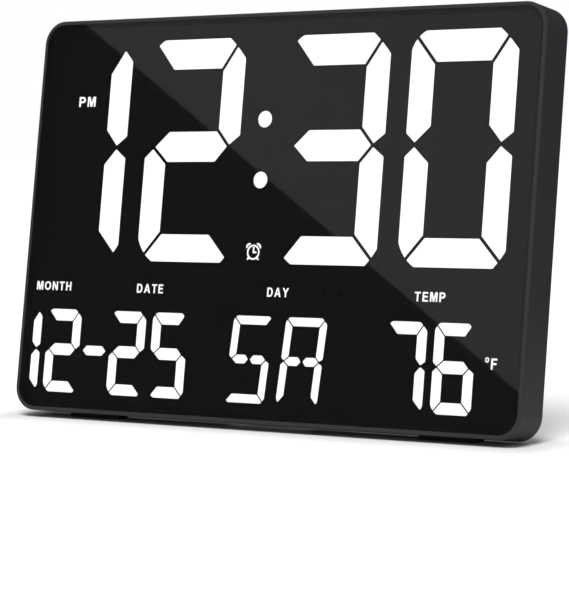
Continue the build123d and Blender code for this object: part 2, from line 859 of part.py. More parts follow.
def leg_outline(top, foot, grown):
    """Tapered outline of the stand between two heights, grown by a gap on each side."""
    head_z, sole_z = hinge_z + stand_heel, hinge_z - sole_reach
    widths = []
    for z in (top, foot):
        share = (head_z - z) / (head_z - sole_z)
        widths.append(stand_top_width / 2 + share * (stand_foot_width - stand_top_width) / 2 + grown)
    return Polygon((-widths[0], top), (-widths[1], foot), (widths[1], foot), (widths[0], top), align=None)


def hinge_pin_places():
    """Middle of each hinge pin along X, and the length of a pin."""
    inner = hinge_half_width - pin_reach
    outer = hinge_half_width + stand_side_gap + pocket_skin + pin_grip
    return (inner + outer) / 2, outer - inner


def along_x(radius, length, x):
    return Pos(x, hinge_y, hinge_z) * Rot(0, 90, 0) * Cylinder(radius, length)


def back_cover():
    """Inset back: stand pocket, plug recess, keyholes, key and door openings, vents and posts."""
    cover = slab(case_rect(case_wall + part_gap), cover_front, cover_back)
    cover_foot = case_wall + part_gap
    tray = leg_outline(pocket_top + pocket_skin, cover_foot, stand_side_gap + pocket_skin)
    cover += slab(tray, pocket_floor - pocket_skin, cover_front)
    cover += plug_tray()
    for x in (-keyhole_spacing / 2, keyhole_spacing / 2):
        box = keyhole_pocket(x, keyhole_pocket_margin + keyhole_skin)
        cover += slab(box, cover_front - keyhole_pocket_depth - keyhole_skin, cover_front)
    for x, z in post_places:
        cover += slab(disc(x, z, post_radius), lamp_board_back, cover_front)
    cover += hinge_blocks()
    return cover - cover_cuts() + stand_stop()


def plug_tray():
    """Outside of the plug recess, a box behind the cover."""
    z = plug_recess_top - plug_recess_height / 2
    outside = block(jack_x, z, plug_recess_width + 2 * recess_skin, plug_recess_height + 2 * recess_skin)
    return slab(outside, plug_recess_floor - recess_skin, cover_front)


def hinge_blocks():
    """Blocks beside the stand pocket that hold the hinge pins."""
    pin_x, pin_length = hinge_pin_places()
    end = pin_x + pin_length / 2
    wall = hinge_half_width + stand_side_gap
    blocks = Part()
    for side in (-1, 1):
        cheek = block(side * (wall + end) / 2, hinge_z, end - wall, 2 * hinge_block)
        blocks += slab(cheek, hinge_y - hinge_block, cover_front)
    return blocks


def stand_stop():
    """Rail across the top of the stand pocket that the open stand's heel leans on."""
    turn = math.radians(stand_open_angle)
    heel_front = stand_barrel_radius - stand_skin
    touch = hinge_y + heel_front * math.cos(turn) - stand_heel * math.sin(turn) - slide_gap
    rail_foot = hinge_z + stand_barrel_radius + stand_floor_gap
    rail = leg_outline(pocket_top, rail_foot, stand_side_gap)
    return slab(rail, pocket_floor, touch)


def cover_cuts():
    """Everything that is open in the back cover."""
    through_front, through_back = cover_front - overrun, cover_back + overrun
    cuts = [slab(leg_outline(pocket_top, -overrun, stand_side_gap), pocket_floor, through_back)]
    recess = block(jack_x, plug_recess_top - plug_recess_height / 2, plug_recess_width, plug_recess_height)
    cuts.append(slab(recess, plug_recess_floor, through_back))
    nose = Cylinder(jack_nose_radius + part_gap, 2 * (recess_skin + overrun))
    cuts.append(Pos(jack_x, jack_y, plug_recess_top + recess_skin) * nose)
    for x in (-keyhole_spacing / 2, keyhole_spacing / 2):
        cuts.append(slab(keyhole_profile(x), through_front, through_back))
        pocket = keyhole_pocket(x, keyhole_pocket_margin)
        cuts.append(slab(pocket, cover_front - keyhole_pocket_depth, cover_front))
    for x in key_places.values():
        wide, tall = key_width + 2 * slide_gap, key_height + 2 * slide_gap
        hole = RectangleRounded(wide, tall, key_corner + slide_gap)
        cuts.append(slab(Pos(x, key_z) * hole, through_front, through_back))
    door_hole = disc(cell_x, board_row_z, door_radius + slide_gap)
    entry_angle = door_lug_angle + door_entry_slack_angle
    door_hole += lug_sector(door_radius + door_lug_reach + slide_gap, entry_angle, door_turn_angle)
    cuts.append(slab(door_hole, through_front, through_back))
    for x, z in boss_places:
        cuts.append(slab(disc(x, z, screw_shank_radius + part_gap), through_front, through_back))
        seat = cover_back - screw_head_height - head_recess
        cuts.append(slab(disc(x, z, screw_head_radius + part_gap), seat, through_back))
    pin_x, pin_length = hinge_pin_places()
    for side in (-1, 1):
        cuts.append(along_x(pin_radius + press_fit, pin_length, side * pin_x))
    return cuts + [slab(slot, through_front, through_back) for slot in vent_slots()]


def vent_slots():
    """Two fields of upright air slots, and one over the buzzer for its sound."""
    slot = Rot(0, 0, 90) * SlotOverall(vent_length, vent_width)
    fields = [(-vent_reach, vent_rise), (vent_reach, vent_rise), (buzzer_x, board_row_z)]
    return [Pos(x + (i - (vent_count - 1) / 2) * vent_pitch, z) * slot
            for x, z in fields for i in range(vent_count)]


def cover_screws():
    seat = cover_back - screw_head_height - head_recess
    shank = seat - cover_front + cover_pilot_depth - overrun
    return group(screw(x, z, seat, shank) for x, z in boss_places)


# Stand

def opened(shape):
    """A piece of the stand turned from folded flat to its open stop."""
    turn = Pos(0, hinge_y, hinge_z) * Rot(stand_open_angle, 0, 0) * Pos(0, -hinge_y, -hinge_z)
    return turn * shape


def sole_plane(raised):
    """Plane of the stand's sole in the folded drawing, raised towards the hinge."""
    normal = (0, -math.sin(sole_tilt), math.cos(sole_tilt))
    drop = sole_reach - raised
    return Plane(origin=(0, hinge_y - drop * normal[1], hinge_z - drop * normal[2]), z_dir=normal)


def stand():
    """Moulded leg: skin with a rim and ribs behind it, hinge barrel and heel."""
    low = hinge_z - sole_reach - stand_thickness
    rim_front = stand_back - stand_thickness
    leg = slab(leg_outline(hinge_z + stand_heel, low, 0), stand_back - stand_skin, stand_back)
    frame = leg_outline(hinge_z, low, 0) - leg_outline(hinge_z, low, -stand_flange)
    leg += slab(frame, rim_front, stand_back)
    for share in stand_rib_shares:
        z = hinge_z - share * sole_reach
        rib = leg_outline(z + stand_rib / 2, z - stand_rib / 2, 0)
        leg += slab(rib, rim_front, stand_back)
    leg += slab(block(0, hinge_z - sole_reach / 2, stand_rib, sole_reach), rim_front, stand_back)
    toe = leg_outline(hinge_z - sole_reach + 2 * stand_thickness, low, 0)
    leg += slab(toe, rim_front, stand_back)
    leg += along_x(stand_barrel_radius, 2 * hinge_half_width - stand_skin, 0)
    leg = split(leg, bisect_by=sole_plane(stand_pad_thickness), keep=Keep.TOP)
    pin_x, pin_length = hinge_pin_places()
    for side in (-1, 1):
        leg -= along_x(pin_radius + pin_fit, pin_length + overrun, side * pin_x)
    return opened(leg)


def stand_pad():
    """Rubber sole of the stand, flat on the floor when the stand is open."""
    low = hinge_z - sole_reach - stand_thickness
    high = hinge_z - sole_reach + stand_thickness
    pad = slab(leg_outline(high, low, 0), stand_back - stand_thickness, stand_back)
    pad = split(pad, bisect_by=sole_plane(0), keep=Keep.TOP)
    return opened(split(pad, bisect_by=sole_plane(stand_pad_thickness), keep=Keep.BOTTOM))


def stand_pins():
    pin_x, pin_length = hinge_pin_places()
    return group(along_x(pin_radius, pin_length, side * pin_x) for side in (-1, 1))


def case_foot(x):
    """Wedge of rubber under the case, its sole flat on the floor when the clock leans back."""
    front = foot_back - foot_depth
    front_sole = -foot_height - foot_depth * lean_tangent
    wedge = Polygon((front, 0), (front, front_sole), (foot_back, -foot_height), (foot_back, 0), align=None)
    return Pos(x - foot_width / 2, 0, 0) * extrude(Plane.YZ * wedge, amount=foot_width)


# Assembly

def clock_nodes():
    """Every piece of the upright clock by its name."""
    segments, captions = display_faces(), caption_faces()
    nodes = {"front_housing": front_housing(), "front_lens": front_lens()}
    nodes["light_box"] = light_box(segments, captions)
    for name, faces in segments.items():
        nodes[name] = group(slab(face, light_front, diffuser_back) for face in faces)
    nodes["caption_plates"] = group(slab(face, light_front, diffuser_back) for face in captions)
    nodes["segment_lamps"] = segment_lamps(segments, captions)
    makers = (lamp_board, driver_chips, ir_receiver, light_sensor, display_screws, main_board, board_spacers,
              main_board_screws, board_header, controller_chip, clock_crystal, voltage_regulator, capacitors,
              buzzer, temp_sensor, dc_jack, dc_jack_pin, coin_cell_holder, coin_cell, cell_contacts,
              battery_door, switch_bases, back_cover, cover_screws, stand, stand_pad, stand_pins)
    for maker in makers:
        nodes[maker.__name__] = maker()
    for name, x in key_places.items():
        nodes[f"key_{name}"] = key_cap(x)
        nodes[f"plunger_{name}"] = switch_plunger(x)
    nodes["foot_left"] = case_foot(-foot_reach)
    nodes["foot_right"] = case_foot(foot_reach)
    return nodes


def leaned_place(nodes):
    """Placement that leans the clock back and stands it on the floor, centred over the origin."""
    lean = Rot(-lean_angle, 0, 0)
    boxes = [(lean * shape).bounding_box() for shape in nodes.values()]
    low_y, high_y = min(box.min.Y for box in boxes), max(box.max.Y for box in boxes)
    lift = foot_back * math.sin(math.radians(lean_angle)) + foot_height * math.cos(math.radians(lean_angle))
    return Pos(0, -(low_y + high_y) / 2, lift) * lean


clock = clock_nodes()
place = leaned_place(clock)
os.makedirs("parts", exist_ok=True)
for node_name, piece in clock.items():
    export_step(place * piece, f"parts/{node_name}.step")
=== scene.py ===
# %% [markdown]
# # A lit calendar clock, from bare solids to a finished picture
# The clock comes in as plain solids in their real places. This lesson measures them, gives every
# piece the finish of the real material, adds the glowing words and the alarm sign that are too fine
# for the solids, and then sets up the camera, the floor and the light of a small product studio.

# %% Load the clock
import json
import math
import bmesh
import bpy
import numpy as np
from mathutils import Matrix, Vector


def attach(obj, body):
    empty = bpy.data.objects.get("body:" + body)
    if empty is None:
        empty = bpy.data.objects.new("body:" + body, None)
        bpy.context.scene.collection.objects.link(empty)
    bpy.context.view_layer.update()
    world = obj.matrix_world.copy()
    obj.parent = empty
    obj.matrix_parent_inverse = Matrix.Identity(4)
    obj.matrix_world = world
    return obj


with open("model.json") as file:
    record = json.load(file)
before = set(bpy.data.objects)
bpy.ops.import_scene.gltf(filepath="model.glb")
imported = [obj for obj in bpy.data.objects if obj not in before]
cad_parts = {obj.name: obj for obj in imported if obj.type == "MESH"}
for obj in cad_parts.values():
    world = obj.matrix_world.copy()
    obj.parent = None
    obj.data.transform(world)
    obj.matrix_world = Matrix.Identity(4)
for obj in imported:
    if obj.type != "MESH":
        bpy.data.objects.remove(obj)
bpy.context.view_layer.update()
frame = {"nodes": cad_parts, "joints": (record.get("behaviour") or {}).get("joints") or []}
nodes = frame["nodes"]

# %% [markdown]
# ## Measure the face
# The words must lie flat in the thin gap between the smoked lens and the light box, on a face that
# leans back. Typing in where that is would break as soon as the clock changes, so it is measured:
# the keys are pushed straight towards the front, which gives the direction that the face looks in,
# and the corner points of a few pieces, laid along that direction, give the depths.

# %% Face axes and depths
def corner_points(name):
    """All corners of one solid as rows of x, y, z."""
    mesh = nodes[name].data
    flat = np.empty(3 * len(mesh.vertices))
    mesh.vertices.foreach_get("co", flat)
    return flat.reshape(-1, 3)


key_joint = next(joint for joint in frame["joints"] if joint["type"] == "slide")
face_out = np.array(key_joint["axis"])
face_right = np.array([1.0, 0.0, 0.0])
face_up = np.cross(face_out, face_right)
housing = corner_points("front_housing")
case_size = np.ptp(housing @ np.array([face_right, face_up, face_out]).T, axis=0)
case_width, case_height, case_depth = case_size
rim_plane = (housing @ face_out).max()
case_foot = (housing @ face_up).min()
lens_front = rim_plane - (corner_points("front_lens") @ face_out).max()
lens_back = rim_plane - (corner_points("front_lens") @ face_out).min()
box_front = rim_plane - (corner_points("light_box") @ face_out).max()
print("case (mm):", np.round(1000 * case_size, 1), "gap for the words (mm):",
      round(1000 * (box_front - lens_back), 2))


# %% Place points on the face
def on_face(x, z, depth):
    """Points in the clock's frame: x from the face's middle, z from its foot, depth behind the rim."""
    x, z, depth = np.broadcast_arrays(x, z, depth)
    return (x[..., None] * face_right + (case_foot + z)[..., None] * face_up
            + (rim_plane - depth)[..., None] * face_out)


print("middle of the lens:", np.round(on_face(0.0, case_height / 2, lens_front), 4))

# %% [markdown]
# ## Shared effects as node groups
# Moulded plastic, rubber and lacquer all show the same thing close up: a fine skin left by the
# mould, and a very slow change of tone over the piece. A group holds that effect once. Each material
# places the group with its own sizes and tones, so the finishes stay related and can still differ.
# The pattern reads Object coordinates, so it stays glued to a piece when the piece moves.

# %% Helpers for node trees
def add_node(tree, kind, **settings):
    """New node of a kind, with its settings and its plain input values."""
    node = tree.nodes.new(kind)
    values = settings.pop("inputs", {})
    for name, value in settings.items():
        setattr(node, name, value)
    for name, value in values.items():
        node.inputs[name].default_value = value
    return node


def new_group(name, inputs, outputs):
    """Empty node group with named sockets, and its two end nodes."""
    group = bpy.data.node_groups.new(name, "ShaderNodeTree")
    for socket, (kind, value) in inputs.items():
        made = group.interface.new_socket(socket, in_out="INPUT", socket_type=kind)
        made.default_value = value
    for socket, kind in outputs.items():
        group.interface.new_socket(socket, in_out="OUTPUT", socket_type=kind)
    return group, group.nodes.new("NodeGroupInput"), group.nodes.new("NodeGroupOutput")


def clear_of(tree, place, middle, half, start, end):
    """Mask: 0 up to a start distance from a box round a middle, rising smoothly to 1 at an end."""
    nothing = (0.0, 0.0, 0.0)
    steps = (("SUBTRACT", middle), ("ABSOLUTE", nothing), ("SUBTRACT", half), ("MAXIMUM", nothing))
    for operation, second in steps:
        step = add_node(tree, "ShaderNodeVectorMath", operation=operation)
        step.inputs[1].default_value = second
        tree.links.new(place, step.inputs[0])
        place = step.outputs[0]
    distance = add_node(tree, "ShaderNodeVectorMath", operation="LENGTH")
    rise = add_node(tree, "ShaderNodeMapRange", interpolation_type="SMOOTHSTEP", inputs={
        "From Min": start, "From Max": end})
    tree.links.new(place, distance.inputs[0])
    tree.links.new(distance.outputs["Value"], rise.inputs["Value"])
    return rise.outputs["Result"]


FLOAT, COLOUR = "NodeSocketFloat", "NodeSocketColor"
# A Mix node lists its colour sockets after those for numbers and vectors
MIX_A, MIX_B, MIX_RESULT = 6, 7, 2
print("node helpers ready")

# %% Mould skin group
def make_mould_skin():
    """Fine grain (noise at Grain per metre) over slow mottling: a colour, a roughness, a height."""
    group, start, end = new_group("mould_skin", {
        "Grain": (FLOAT, 900.0), "Mottle": (FLOAT, 14.0),
        "Dark": (COLOUR, (0.02, 0.02, 0.02, 1)), "Light": (COLOUR, (0.03, 0.03, 0.03, 1)),
        "Smooth": (FLOAT, 0.4), "Rough": (FLOAT, 0.5)},
        {"Color": COLOUR, "Roughness": FLOAT, "Height": FLOAT})
    link = group.links.new
    place = add_node(group, "ShaderNodeTexCoord")
    grain = add_node(group, "ShaderNodeTexNoise", inputs={"Detail": 3.0, "Roughness": 0.6})
    mottle = add_node(group, "ShaderNodeTexNoise", inputs={"Detail": 2.0, "Roughness": 0.5})
    link(place.outputs["Object"], grain.inputs["Vector"])
    link(place.outputs["Object"], mottle.inputs["Vector"])
    link(start.outputs["Grain"], grain.inputs["Scale"])
    link(start.outputs["Mottle"], mottle.inputs["Scale"])
    blend = add_node(group, "ShaderNodeMix", data_type="FLOAT", inputs={"Factor": 0.35})
    link(mottle.outputs["Fac"], blend.inputs["A"])
    link(grain.outputs["Fac"], blend.inputs["B"])
    tone = add_node(group, "ShaderNodeMix", data_type="RGBA")
    link(blend.outputs["Result"], tone.inputs["Factor"])
    link(start.outputs["Dark"], tone.inputs[MIX_A])
    link(start.outputs["Light"], tone.inputs[MIX_B])
    gloss = add_node(group, "ShaderNodeMapRange")
    link(blend.outputs["Result"], gloss.inputs["Value"])
    link(start.outputs["Smooth"], gloss.inputs["To Min"])
    link(start.outputs["Rough"], gloss.inputs["To Max"])
    link(tone.outputs[MIX_RESULT], end.inputs["Color"])
    link(gloss.outputs["Result"], end.inputs["Roughness"])
    link(grain.outputs["Fac"], end.inputs["Height"])
    return group


mould_skin = make_mould_skin()
print("group:", mould_skin.name, [item.name for item in mould_skin.interface.items_tree])


# %% Brushed metal group
def make_brushed():
    """Fine streaks: noise on coordinates squeezed along one axis, as a colour and a roughness."""
    group, start, end = new_group("brushed", {
        "Streaks": (FLOAT, 700.0), "Dark": (COLOUR, (0.45, 0.45, 0.46, 1)),
        "Light": (COLOUR, (0.65, 0.65, 0.66, 1)), "Smooth": (FLOAT, 0.22), "Rough": (FLOAT, 0.4)},
        {"Color": COLOUR, "Roughness": FLOAT})
    link = group.links.new
    place = add_node(group, "ShaderNodeTexCoord")
    squeeze = add_node(group, "ShaderNodeMapping", inputs={"Scale": (1.0, 0.08, 1.0)})
    streak = add_node(group, "ShaderNodeTexNoise", inputs={"Detail": 4.0, "Roughness": 0.65})
    link(place.outputs["Object"], squeeze.inputs["Vector"])
    link(squeeze.outputs["Vector"], streak.inputs["Vector"])
    link(start.outputs["Streaks"], streak.inputs["Scale"])
    tone = add_node(group, "ShaderNodeMix", data_type="RGBA")
    link(streak.outputs["Fac"], tone.inputs["Factor"])
    link(start.outputs["Dark"], tone.inputs[MIX_A])
    link(start.outputs["Light"], tone.inputs[MIX_B])
    gloss = add_node(group, "ShaderNodeMapRange")
    link(streak.outputs["Fac"], gloss.inputs["Value"])
    link(start.outputs["Smooth"], gloss.inputs["To Min"])
    link(start.outputs["Rough"], gloss.inputs["To Max"])
    link(tone.outputs[MIX_RESULT], end.inputs["Color"])
    link(gloss.outputs["Result"], end.inputs["Roughness"])
    return group


brushed = make_brushed()
print("group:", brushed.name, [item.name for item in brushed.interface.items_tree])


# %% [markdown]
# ## Plastics and rubber
# The case is satin black plastic. It is black, but not a hole in the picture: its dark grey takes the
# studio light on the rim and falls off round the side. The back and the stand come from another mould,
# whose coarser skin hides scratches. The keys are a shade lighter so that a hand finds them, the rubber
# soles are duller, and the chips are hard and dark. All of them are one shader with the mould skin
# group and different values.

# %% Skin materials
def grey(tone, tint=1.0):
    """Opaque grey as a colour socket's value, with its blue raised by a tint."""
    return (tone, tone, tone * tint, 1.0)


def skin_material(name, dark, light, smooth, rough, grain, relief, sheen):
    """Principled shader fed by the mould skin group; relief is the bump's strength, sheen its gloss."""
    material = bpy.data.materials.new(name)
    material.use_nodes = True
    tree = material.node_tree
    shader = tree.nodes["Principled BSDF"]
    shader.inputs["Specular IOR Level"].default_value = sheen
    skin = add_node(tree, "ShaderNodeGroup", node_tree=mould_skin, inputs={
        "Grain": grain, "Dark": dark, "Light": light, "Smooth": smooth, "Rough": rough})
    bump = add_node(tree, "ShaderNodeBump", inputs={"Strength": relief, "Distance": 0.0002})
    tree.links.new(skin.outputs["Height"], bump.inputs["Height"])
    tree.links.new(skin.outputs["Color"], shader.inputs["Base Color"])
    tree.links.new(skin.outputs["Roughness"], shader.inputs["Roughness"])
    tree.links.new(bump.outputs["Normal"], shader.inputs["Normal"])
    return material


# Darkest tone, lightest tone, smoothest, roughest, grain per metre, relief, sheen
plastics = {
    "case_plastic": (grey(0.033, 1.06), grey(0.041, 1.06), 0.46, 0.58, 900.0, 0.1, 0.12),
    "back_plastic": (grey(0.038), grey(0.054), 0.5, 0.66, 1300.0, 0.35, 0.25),
    "door_plastic": (grey(0.030), grey(0.040), 0.4, 0.5, 900.0, 0.1, 0.25),
    "key_plastic": (grey(0.075), grey(0.095), 0.38, 0.5, 1200.0, 0.1, 0.35),
    "soft_rubber": (grey(0.016), grey(0.026), 0.75, 0.9, 500.0, 0.3, 0.15),
    "reflector_black": (grey(0.009), grey(0.012), 0.6, 0.7, 1500.0, 0.0, 0.1),
    "unlit_diffuser": (grey(0.010), grey(0.013), 0.5, 0.6, 900.0, 0.03, 0.1),
    "chip_epoxy": (grey(0.014), grey(0.022), 0.45, 0.6, 1500.0, 0.1, 0.35),
    "socket_plastic": (grey(0.018), grey(0.028), 0.35, 0.5, 1100.0, 0.1, 0.35),
    "white_nylon": (grey(0.60, 0.95), grey(0.72, 0.95), 0.4, 0.5, 1000.0, 0.1, 0.35),
    "clear_resin": (grey(0.40, 1.1), grey(0.52, 1.1), 0.1, 0.2, 600.0, 0.02, 0.5),
    "lamp_resin": ((0.80, 0.76, 0.52, 1), (0.88, 0.84, 0.6, 1), 0.2, 0.3, 900.0, 0.1, 0.35),
    "shrunk_sleeve": ((0.02, 0.03, 0.10, 1), (0.03, 0.045, 0.14, 1), 0.25, 0.35, 900.0, 0.1, 0.35),
}
finishes = {name: skin_material(name, *values) for name, values in plastics.items()}
print("plastics:", ", ".join(finishes))


# %% [markdown]
# ## Painted shade on the ledge
# The lens is glued to a ledge just inside the case wall. Lit through the smoked sheet, the ledge would
# show as a lighter frame, so painted shade makes it near-black. The paint is a mask on the case
# plastic: it covers what lies further in than the wall, also round the corners, and is laid out on the
# leaning face.

# %% Paint shade on the ledge
case_corner, case_wall, paint_blur = 0.0155, 0.0025, 0.0001
# painted shade: a near-black colour for the ledge behind the lens, where shade falls
ledge_painted_shade = grey(0.009)


def paint_shade_inside(material, paint):
    """Mixes painted shade into the plastic wherever a point lies further in than the case wall."""
    tree = material.node_tree
    shader = tree.nodes["Principled BSDF"]
    skin_colour = shader.inputs["Base Color"].links[0].from_socket
    lean = math.atan2(face_up[1], face_up[2])
    place = add_node(tree, "ShaderNodeTexCoord")
    upright = add_node(tree, "ShaderNodeMapping", inputs={"Rotation": (lean, 0.0, 0.0)})
    tone = add_node(tree, "ShaderNodeMix", data_type="RGBA")
    middle = (0.0, 0.0, case_foot + case_height / 2)
    half = (case_width / 2 - case_corner, 1.0, case_height / 2 - case_corner)
    inner_edge = case_corner - case_wall - paint_blur
    tree.links.new(place.outputs["Object"], upright.inputs["Vector"])
    straight = upright.outputs["Vector"]
    outside = clear_of(tree, straight, middle, half, inner_edge - paint_blur, inner_edge)
    tree.links.new(outside, tone.inputs["Factor"])
    tone.inputs[MIX_A].default_value = paint
    tree.links.new(skin_colour, tone.inputs[MIX_B])
    tree.links.new(tone.outputs[MIX_RESULT], shader.inputs["Base Color"])


# paints shade on the plastic inside the case wall
paint_shade_inside(finishes["case_plastic"], ledge_painted_shade)
print("ledge painted in", finishes["case_plastic"].name)


# %% [markdown]
# ## Metals
# Screws, pins, the coin cell and its spring contacts. They are small, so a plain metal would do from
# afar, but the screws on the back are looked at closely: streaks in their tone and roughness keep
# them from looking like mirrors.

# %% Metal materials
def metal_material(name, dark, light, smooth, rough, streaks):
    """Metallic shader whose colour and roughness come from the brushed group."""
    material = bpy.data.materials.new(name)
    material.use_nodes = True
    tree = material.node_tree
    shader = tree.nodes["Principled BSDF"]
    shader.inputs["Metallic"].default_value = 1.0
    streak = add_node(tree, "ShaderNodeGroup", node_tree=brushed, inputs={
        "Streaks": streaks, "Dark": dark, "Light": light, "Smooth": smooth, "Rough": rough})
    tree.links.new(streak.outputs["Color"], shader.inputs["Base Color"])
    tree.links.new(streak.outputs["Roughness"], shader.inputs["Roughness"])
    return material


# Darkest tone, lightest tone, smoothest, roughest, streaks per metre
metals = {
    "screw_steel": (grey(0.30), grey(0.42), 0.28, 0.45, 1500.0),
    "cell_steel": (grey(0.55), grey(0.68), 0.2, 0.32, 900.0),
    "spring_brass": ((0.55, 0.42, 0.18, 1), (0.72, 0.56, 0.26, 1), 0.25, 0.4, 700.0),
}
finishes.update({name: metal_material(name, *values) for name, values in metals.items()})
print("metals added:", ", ".join(metals))


# %% [markdown]
# ## Circuit boards
# Green lacquer over copper. The copper shows as slightly lighter tracks: a brick pattern has just
# such long thin joints, so its joints stand for the tracks. Only slits of the boards are seen through
# the vents, which makes a simple pattern enough.

# %% Board material
def board_material():
    """Green lacquer; the mortar lines of a brick texture are lighter tracks, raised a little."""
    material = bpy.data.materials.new("board_lacquer")
    material.use_nodes = True
    tree = material.node_tree
    link = tree.links.new
    shader = tree.nodes["Principled BSDF"]
    place = add_node(tree, "ShaderNodeTexCoord")
    turn = add_node(tree, "ShaderNodeMapping", inputs={"Rotation": (math.pi / 2, 0.0, 0.0)})
    tracks = add_node(tree, "ShaderNodeTexBrick", inputs={
        "Scale": 90.0, "Mortar Size": 0.03, "Brick Width": 1.7, "Row Height": 0.21,
        "Color1": (0.012, 0.075, 0.030, 1), "Color2": (0.014, 0.085, 0.034, 1),
        "Mortar": (0.035, 0.16, 0.07, 1)})
    bump = add_node(tree, "ShaderNodeBump", inputs={"Strength": 0.2, "Distance": 0.0001})
    skin = add_node(tree, "ShaderNodeGroup", node_tree=mould_skin, inputs={
        "Smooth": 0.25, "Rough": 0.35})
    link(place.outputs["Object"], turn.inputs["Vector"])
    link(turn.outputs["Vector"], tracks.inputs["Vector"])
    link(tracks.outputs["Color"], shader.inputs["Base Color"])
    link(tracks.outputs["Fac"], bump.inputs["Height"])
    link(bump.outputs["Normal"], shader.inputs["Normal"])
    link(skin.outputs["Roughness"], shader.inputs["Roughness"])
    return material


finishes["board_lacquer"] = board_material()
print("board:", len(finishes["board_lacquer"].node_tree.nodes), "nodes")


# %% [markdown]
# ## Smoked lens and lit diffusers
# The lens is a polished sheet of smoked acrylic: it hides the light box and the dark segments, lets
# the lit ones through, and mirrors the studio. A dark shader with an even alpha does all three. Real
# glass refraction would cost render time and change nothing that can be seen on a flat sheet.
# The lit diffusers glow, strongly enough to be white behind the smoked sheet, with a slight unevenness
# from the lamps behind them.

# %% Lens material
lens_alpha = 0.42


def lens_material():
    """Dark see-through gloss; a slow noise breaks up the roughness as wiped plastic does."""
    material = skin_material("smoked_acrylic", grey(0.010), grey(0.0125), 0.015, 0.03, 60.0, 0.0, 0.42)
    material.node_tree.nodes["Principled BSDF"].inputs["Alpha"].default_value = lens_alpha
    return material


finishes["smoked_acrylic"] = lens_material()
print("lens lets through", round((1 - lens_alpha) ** 2, 3), "of the light")

# %% Lit diffuser material
lit_strength = 3.1


def lit_material():
    """Milky plastic that glows; noise at the lamps' spacing varies the glow by a few per cent."""
    material = skin_material("lit_diffuser", grey(0.80), grey(0.86), 0.3, 0.4, 800.0, 0.02, 0.35)
    tree = material.node_tree
    shader = tree.nodes["Principled BSDF"]
    shader.inputs["Emission Strength"].default_value = lit_strength
    place = add_node(tree, "ShaderNodeTexCoord")
    uneven = add_node(tree, "ShaderNodeTexNoise", inputs={"Scale": 60.0, "Detail": 1.0})
    glow = add_node(tree, "ShaderNodeMix", data_type="RGBA")
    glow.inputs[MIX_A].default_value = (0.93, 0.95, 0.97, 1)
    glow.inputs[MIX_B].default_value = (1.0, 1.0, 1.0, 1)
    tree.links.new(place.outputs["Object"], uneven.inputs["Vector"])
    tree.links.new(uneven.outputs["Fac"], glow.inputs["Factor"])
    tree.links.new(glow.outputs[MIX_RESULT], shader.inputs["Emission Color"])
    return material


finishes["lit_diffuser"] = lit_material()
print("glow seen through the lens:", round(lit_strength * (1 - lens_alpha) ** 2, 2))

# %% [markdown]
# ## Dress the solids
# Each solid keeps its shape and gets its finish. The list is kept by finish, because that is how a
# maker orders it: what is pressed from the same pellets stands on one line.

# %% Give every solid its finish
dressing = {
    "case_plastic": "front_housing",
    "back_plastic": "back_cover stand",
    "door_plastic": "battery_door",
    "key_plastic": "key_mode key_alarm key_up key_down key_light",
    "soft_rubber": "stand_pad foot_left foot_right",
    "smoked_acrylic": "front_lens",
    "reflector_black": "light_box",
    "lit_diffuser": "time_segments_lit colon_dots date_segments_lit day_segments_lit temp_segments_lit",
    "unlit_diffuser": "time_segments_unlit date_segments_unlit day_segments_unlit temp_segments_unlit "
                      "caption_plates",
    "lamp_resin": "segment_lamps",
    "board_lacquer": "lamp_board main_board",
    "chip_epoxy": "driver_chips controller_chip voltage_regulator ir_receiver",
    "socket_plastic": "board_header buzzer switch_bases coin_cell_holder dc_jack",
    "clear_resin": "light_sensor temp_sensor",
    "white_nylon": "board_spacers plunger_mode plunger_alarm plunger_up plunger_down plunger_light",
    "shrunk_sleeve": "capacitors",
    "screw_steel": "display_screws main_board_screws cover_screws clock_crystal dc_jack_pin stand_pins",
    "cell_steel": "coin_cell",
    "spring_brass": "cell_contacts",
}
dressed = set()
for finish, names in dressing.items():
    for name in names.split():
        nodes[name].data.materials.clear()
        nodes[name].data.materials.append(finishes[finish])
        dressed.add(name)
print("solids dressed:", len(dressed), "left bare:", sorted(set(nodes) - dressed))


# %% [markdown]
# ## Lit words
# Small masked windows in the light box let the captions glow. Their letters are plain and bold. Type
# could be set for them, but making it bolder closes the narrow corners of some letters, so the few
# letters are drawn here as outlines, in shares of their height. A word's outlines are filled while they
# lie flat, and only then carried on to the face. Each word fits into its own window, which is measured
# from the solids, and is as thin as a printed film: it lies in the gap behind the lens.

# %% Film depth and mesh helper
film_margin = (box_front - lens_back) / 4
film_front, film_back = lens_back + film_margin, box_front - film_margin


def finished_piece(name, points, faces, finish, body="clock"):
    """Mesh object at the origin, closed and facing outwards, that rides on a body."""
    mesh = bpy.data.meshes.new(name)
    mesh.from_pydata(points.tolist(), [], faces)
    build = bmesh.new()
    build.from_mesh(mesh)
    bmesh.ops.remove_doubles(build, verts=build.verts, dist=1e-7)
    bmesh.ops.recalc_face_normals(build, faces=build.faces)
    build.to_mesh(mesh)
    build.free()
    mesh.materials.append(finishes[finish])
    piece = bpy.data.objects.new(name, mesh)
    bpy.context.scene.collection.objects.link(piece)
    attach(piece, body)
    return piece


print("film from", round(1000 * film_front, 2), "to", round(1000 * film_back, 2), "mm behind the rim")


# %% Measure the windows
def plate_boxes(name):
    """Boxes (left, foot, right, head) of a node's flat rectangles on the face, the lowest first.

    A rectangle comes as two triangles cut along its diagonal, and each of them spans the whole of it.
    """
    mesh = nodes[name].data
    corners = np.empty(len(mesh.loops), dtype=np.int32)
    mesh.loops.foreach_get("vertex_index", corners)
    triangles = corner_points(name)[corners].reshape(-1, 3, 3)
    depth = triangles @ face_out
    front = triangles[depth.min(axis=1) > depth.max() - 1e-5]
    flat = np.stack([front @ face_right, front @ face_up - case_foot], -1)
    boxes = np.unique(np.round(np.concatenate([flat.min(axis=1), flat.max(axis=1)], -1), 4), axis=0)
    return boxes[np.lexsort((boxes[:, 0], boxes[:, 1]))]


